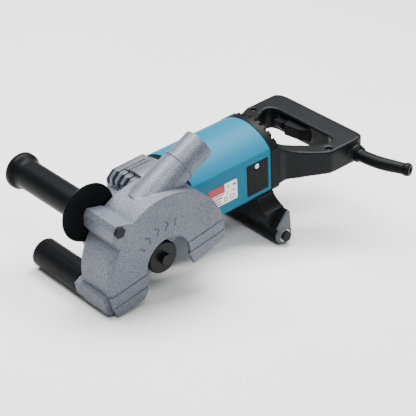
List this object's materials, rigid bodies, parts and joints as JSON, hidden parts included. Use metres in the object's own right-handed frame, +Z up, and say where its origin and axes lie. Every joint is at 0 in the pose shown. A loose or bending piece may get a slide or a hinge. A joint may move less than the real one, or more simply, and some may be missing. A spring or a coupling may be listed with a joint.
{
  "type": "wall chaser",
  "caption": "Electric wall chaser with a half-round disc guard and dust outlet, a side grip, front and rear rollers and a D-shaped rear handle",
  "frame": {"origin": "centre of the bounding box, at floor level", "axes": "+X from the disc guard to the rear handle, +Y away from the disc side, +Z up; the tool stands on the guard's toe and the rear roller"},
  "size_m": [0.4686, 0.2412, 0.1954],
  "materials": {
    "housing_blue": "satin glass-filled nylon, mid blue",
    "black_plastic": "fine-textured black nylon",
    "rubber_black": "matte black moulded rubber",
    "cast_silver": "die-cast alloy with fine silver paint",
    "foot_black": "semi-gloss black paint on steel",
    "foot_grey": "dark grey plated plate",
    "zinc_steel": "bright zinc plating",
    "black_steel": "black oxide",
    "ground_steel": "ground and hardened",
    "lamination": "stacked laminations",
    "copper": "enamelled copper",
    "carbon": "pressed carbon",
    "label_white": "printed plate",
    "fan_white": "moulded fan"
  },
  "bodies": {
    "tool_body": {"motor_housing": "housing_blue", "baffle_ring": "black_plastic", "rear_cover": "black_plastic", "housing_screws": "zinc_steel", "brush_cover_near": "black_plastic", "brush_cover_far": "black_plastic", "brush_cover_screws": "zinc_steel", "brush_holders": "copper", "carbon_brushes": "carbon", "brush_springs": "ground_steel", "rating_plate": "label_white", "stator": "lamination", "field_coils": "copper", "front_bearing": "ground_steel", "rear_bearing": "ground_steel", "gear_housing": "cast_silver", "gear_case_screws": "zinc_steel", "bearing_box": "cast_silver", "bearing_box_screws": "zinc_steel", "spindle_bearing": "ground_steel", "spindle_needle_bush": "ground_steel", "rear_foot": "foot_black", "foot_end_plates": "foot_grey", "foot_axle_bolt": "black_steel", "foot_axle_nut": "black_steel", "foot_washers": "zinc_steel", "handle_upper": "black_plastic", "handle_lower": "black_plastic", "handle_screws": "zinc_steel", "switch_body": "black_plastic", "trigger_pin": "ground_steel", "trigger_spring": "ground_steel", "cord_guard": "rubber_black", "cord_clamp": "black_plastic"},
    "armature": {"armature_shaft": "ground_steel", "armature_core": "lamination", "armature_windings": "copper", "commutator": "copper", "cooling_fan": "fan_white", "pinion": "ground_steel"},
    "spindle_set": {"spindle": "ground_steel", "bevel_gear": "ground_steel", "inner_flange": "black_steel", "disc_spacers": "ground_steel", "outer_flange": "black_steel", "flange_bolt": "black_steel"},
    "guard": {"guard_body": "cast_silver", "guard_clamp_screw": "zinc_steel", "guard_clamp_nut": "zinc_steel", "side_grip": "rubber_black", "hand_guard_disc": "rubber_black", "grip_bolt": "black_steel", "grip_nut": "zinc_steel", "front_roller_axle": "zinc_steel", "front_roller_nut": "zinc_steel"},
    "front_roller": {"front_roller": "black_plastic"},
    "rear_roller": {"rear_roller": "black_plastic"},
    "trigger": {"trigger": "black_plastic"},
    "lock_button": {"lock_button": "black_plastic"}
  },
  "joints": [
    {"name": "guard_swivel", "type": "hinge", "parent": "tool_body", "child": "guard", "pos_m": [-0.11894, -0.03943, 0.0554], "axis": [0, 1, 0], "range_deg": [-8, 26]},
    {"name": "armature_spin", "type": "hinge", "parent": "tool_body", "child": "armature", "pos_m": [-0.02072, 0.04057, 0.07418], "axis": [0.9822, 0, 0.1878], "continuous": true},
    {"name": "spindle_spin", "type": "hinge", "parent": "tool_body", "child": "spindle_set", "pos_m": [-0.11894, 0.00057, 0.0554], "axis": [0, 1, 0], "continuous": true},
    {"name": "front_roller_spin", "type": "hinge", "parent": "guard", "child": "front_roller", "pos_m": [-0.18515, 0.03557, 0.0183], "axis": [0, 1, 0], "continuous": true},
    {"name": "rear_roller_spin", "type": "hinge", "parent": "tool_body", "child": "rear_roller", "pos_m": [0.10692, 0.04057, 0.01368], "axis": [0, 1, 0], "continuous": true},
    {"name": "trigger_pull", "type": "hinge", "parent": "tool_body", "child": "trigger", "pos_m": [0.19865, 0.06057, 0.10901], "axis": [-0.1878, 0, 0.9822], "range_deg": [0, 6], "stiffness_Nm_per_rad": 1.5, "springref_deg": -11.46},
    {"name": "lock_press", "type": "slide", "parent": "tool_body", "child": "lock_button", "axis": [0.9822, 0, 0.1878], "range_m": [0, 0.003], "stiffness_N_per_m": 400, "springref_m": -0.003}
  ],
  "couplings": [
    {"joint": "spindle_spin", "follows": "armature_spin", "ratio": 0.28947}
  ]
}
